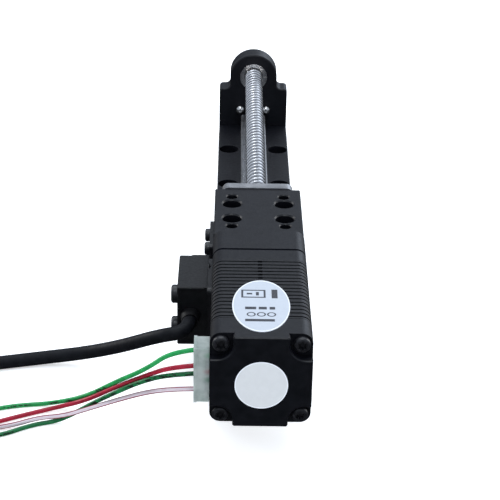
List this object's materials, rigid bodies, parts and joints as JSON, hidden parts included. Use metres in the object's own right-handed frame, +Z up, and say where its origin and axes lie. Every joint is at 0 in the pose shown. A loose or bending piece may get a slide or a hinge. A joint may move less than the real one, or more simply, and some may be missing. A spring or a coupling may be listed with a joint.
{
  "type": "linear actuator with stepper motor and lead screw",
  "caption": "Stepper motor whose shaft is a lead screw, driving a table on a guide rail, with base plate, end housing, home sensor, plug and leads.",
  "frame": {"origin": "on the base plate's underside, at the centre of its mounting hole pattern, below the screw axis", "axes": "+Z up; +Y along the lead screw from the motor towards the end housing; +X to the right, seen from the motor end"},
  "size_m": [0.1136, 0.192, 0.0302],
  "materials": {
    "black_anodised": "satin black anodised",
    "motor_black": "satin black",
    "lamination": "satin black, ribbed",
    "rail_steel": "ground",
    "bearing_steel": "polished",
    "screw_steel": "rolled, bright",
    "nut_steel": "ground",
    "black_steel": "black oxide",
    "copper": "enamelled copper",
    "magnet": "nickel plated",
    "label_white": "printed film",
    "plug_nylon": "translucent nylon",
    "black_plastic": "moulded",
    "green_plastic": "moulded",
    "contact_tin": "tin plated",
    "circuit_board": "solder mask",
    "optic_plastic": "dark red",
    "rubber_black": "matt",
    "cable_black": "matt sheath",
    "wire_green_pvc": "insulation",
    "wire_red_pvc": "insulation",
    "wire_white_pvc": "insulation",
    "wire_dark_green_pvc": "insulation",
    "tie_nylon": "nylon",
    "spring_steel": "spring steel",
    "insulator": "moulded"
  },
  "bodies": {
    "base": {"base_plate": "black_anodised", "base_screws": "black_steel", "motor_mount": "black_anodised", "motor_screws": "black_steel", "end_housing": "black_anodised", "stop_pins": "bearing_steel", "guide_rail": "rail_steel", "rail_screws": "black_steel", "bearing_outer_rings": "bearing_steel", "bearing_shields": "bearing_steel", "wave_washer": "spring_steel", "motor_front_cap": "motor_black", "stator_stack": "lamination", "stator_insulators": "insulator", "stator_windings": "copper", "motor_rear_cap": "motor_black", "rear_cap_screws": "black_steel", "rear_label": "label_white", "top_label": "label_white", "socket_housing": "plug_nylon", "socket_pins": "contact_tin", "plug_housing": "plug_nylon", "plug_terminals": "contact_tin", "sensor_case": "black_plastic", "sensor_lid": "black_plastic", "sensor_windows": "optic_plastic", "sensor_board": "circuit_board", "sensor_screws": "black_steel", "cable_gland": "rubber_black", "sensor_bracket": "black_steel", "bracket_screws": "black_steel", "sensor_cable": "cable_black", "sensor_cable_coil": "cable_black", "cable_tie": "tie_nylon", "cable_connector": "black_plastic", "wire_green": "wire_green_pvc", "wire_red": "wire_red_pvc", "wire_white": "wire_white_pvc", "wire_dark_green": "wire_dark_green_pvc", "wire_coil": "wire_green_pvc", "wire_tie": "tie_nylon", "wire_connector": "black_plastic"},
    "rotor": {"lead_screw": "screw_steel", "retaining_clip": "spring_steel", "rotor_cups": "spring_steel", "rotor_magnet": "magnet", "bearing_inner_rings": "bearing_steel"},
    "ball_sets": {"bearing_balls": "bearing_steel"},
    "slide_table": {"table": "black_anodised", "table_screws": "black_steel", "guide_block": "rail_steel", "block_end_caps": "green_plastic", "block_seals": "rubber_black", "guide_balls": "bearing_steel", "screw_nut": "nut_steel", "nut_screws": "black_steel", "sensor_flag": "black_steel", "flag_screws": "black_steel"}
  },
  "joints": [
    {"name": "table_slide", "type": "slide", "parent": "base", "child": "slide_table", "axis": [0, 1, 0], "range_m": [0, 0.094]},
    {"name": "screw_spin", "type": "hinge", "parent": "base", "child": "rotor", "pos_m": [0, 0, 0.02], "axis": [0, 1, 0], "range_deg": [-16921, 1]},
    {"name": "ball_orbit", "type": "hinge", "parent": "base", "child": "ball_sets", "pos_m": [0, 0, 0.02], "axis": [0, 1, 0], "range_deg": [-6769, 1]}
  ],
  "couplings": [
    {"joint": "screw_spin", "follows": "table_slide", "rad_per_m": -3141.6},
    {"joint": "ball_orbit", "follows": "table_slide", "rad_per_m": -1256.6}
  ]
}
